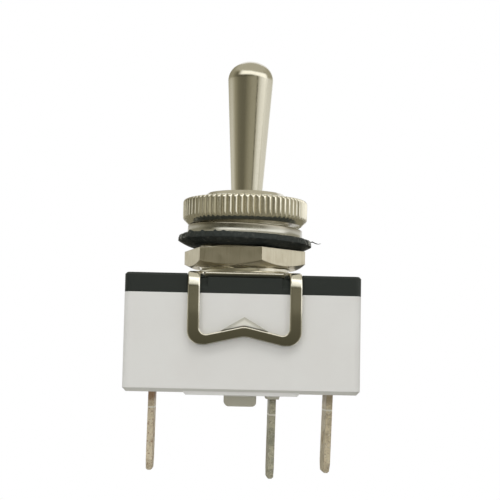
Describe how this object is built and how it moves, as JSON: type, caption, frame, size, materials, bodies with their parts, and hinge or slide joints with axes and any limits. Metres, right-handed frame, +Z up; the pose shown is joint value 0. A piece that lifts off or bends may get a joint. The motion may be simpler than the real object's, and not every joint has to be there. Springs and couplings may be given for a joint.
{
  "type": "toggle switch",
  "caption": "Panel toggle switch with a metal bat lever, threaded bushing with nuts and seal, stirrup bracket, and a moulded contact block with blade terminals.",
  "frame": {"origin": "on the bushing axis at the panel seat, the hex nut's top face", "axes": "+Z up the bushing axis to the lever's tip, X along the contact block and the lever's swing, Y across the block"},
  "size_m": [0.0295, 0.0174, 0.0542],
  "materials": {
    "white_plastic": "moulded, fine matt",
    "black_plastic": "moulded, satin",
    "plated_sheet": "nickel plated sheet, rolled",
    "nickel": "nickel plate over turned brass",
    "spring_steel": "drawn",
    "nylon": "moulded",
    "contact_brass": "stamped",
    "contact_silver": "silver alloy",
    "terminal_plate": "plated brass strip",
    "black_rubber": "moulded",
    "washer_metal": "tumbled"
  },
  "bodies": {
    "base": {"housing": "white_plastic", "cover": "black_plastic", "bracket": "plated_sheet", "bushing": "nickel", "pivot_pin": "spring_steel", "hex_nut": "nickel", "sealing_ring": "black_rubber", "washer": "washer_metal", "knurled_nut": "nickel", "left_terminal": "terminal_plate", "common_terminal": "terminal_plate", "right_terminal": "terminal_plate", "fixed_contact_left": "contact_silver", "fixed_contact_right": "contact_silver", "rocker_saddle": "contact_brass"},
    "lever": {"lever": "nickel", "plunger_spring": "spring_steel"},
    "plunger": {"plunger": "nylon"},
    "rocker": {"rocker": "contact_brass", "moving_contact_left": "contact_silver", "moving_contact_right": "contact_silver"}
  },
  "joints": [
    {"name": "lever_tilt", "type": "hinge", "parent": "base", "child": "lever", "pos_m": [0, 0, -0.00235], "axis": [0, 1, 0], "range_deg": [-12, 12]},
    {"name": "plunger_slide", "type": "slide", "parent": "lever", "child": "plunger", "axis": [0, 0, 1], "range_m": [0, 0.0006], "stiffness_N_per_m": 500, "deforming": ["plunger_spring"]},
    {"name": "rocker_tilt", "type": "hinge", "parent": "base", "child": "rocker", "pos_m": [0, 0, -0.01296], "axis": [0, 1, 0], "range_deg": [-9.2, 9.2]}
  ],
  "couplings": [
    {"joint": "rocker_tilt", "follows": "lever_tilt", "ratio": -0.75}
  ]
}
